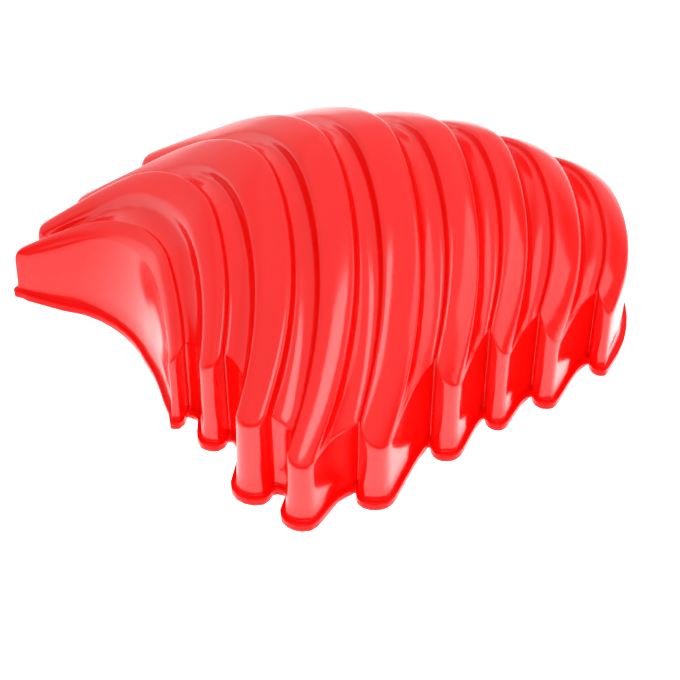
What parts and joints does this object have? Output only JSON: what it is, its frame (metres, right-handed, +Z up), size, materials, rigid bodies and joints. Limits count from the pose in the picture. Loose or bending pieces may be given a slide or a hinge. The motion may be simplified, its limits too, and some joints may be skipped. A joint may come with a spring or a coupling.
{
  "type": "sand mould",
  "caption": "Ribbed dome-shaped sand mould: a thin moulded plastic shell with bowed ribs, lobed skirts and a flat rim ledge round an open mouth that is filled with damp sand.",
  "frame": {"origin": "middle of the bounding box on the plane of the rim, on which the mould lies mouth down", "axes": "+X along the row of ribs toward the closed round end, +Y toward the far side, +Z up from the rim to the crest"},
  "size_m": [0.1234, 0.1104, 0.0462],
  "materials": {
    "red_plastic": "gloss, slightly translucent"
  },
  "bodies": {
    "root": {"mould_shell": "red_plastic"}
  },
  "joints": []
}
